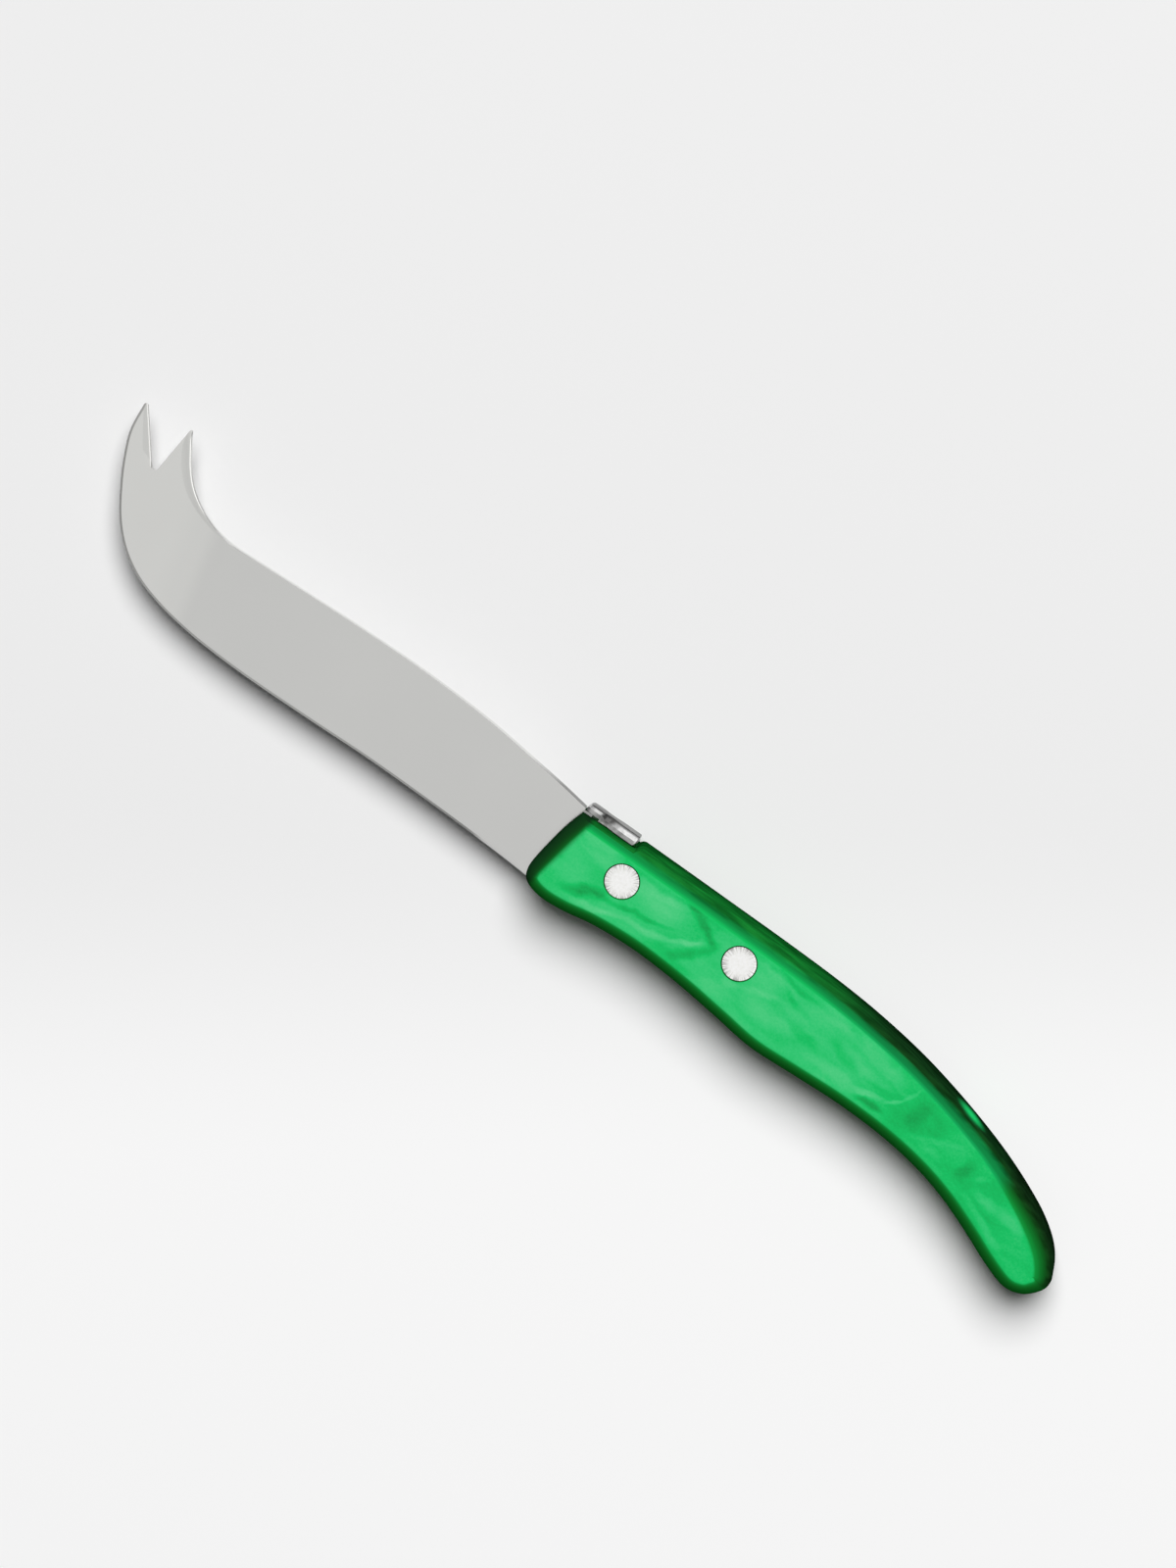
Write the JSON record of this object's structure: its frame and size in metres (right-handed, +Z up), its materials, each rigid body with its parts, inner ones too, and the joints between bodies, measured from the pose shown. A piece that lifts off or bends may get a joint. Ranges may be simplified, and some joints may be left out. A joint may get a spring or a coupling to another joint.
{
  "type": "cheese knife",
  "caption": "Cheese knife with an upturned, forked steel blade, a curved handle of marbled green acrylic, a small waisted plate on the back and flush rivets.",
  "frame": {"origin": "centre of the knife's outline box, on the surface that the knife lies on", "axes": "+X towards the butt of the handle, +Y from the cutting edge towards the spine, +Z up, square to the flat sides of the handle"},
  "size_m": [0.2234, 0.0424, 0.0125],
  "materials": {
    "handle_acrylic": "polished pearlescent acrylic, marbled green",
    "blade_steel": "fine satin ground stainless steel",
    "fly_steel": "tumbled stainless steel",
    "rivet_aluminium": "ground flush, with fine radial lines"
  },
  "bodies": {
    "root": {"handle": "handle_acrylic", "blade": "blade_steel", "fly_plate": "fly_steel", "rivet_front_pin": "rivet_aluminium", "rivet_front_tube": "rivet_aluminium", "rivet_rear_pin": "rivet_aluminium", "rivet_rear_tube": "rivet_aluminium"}
  },
  "joints": []
}
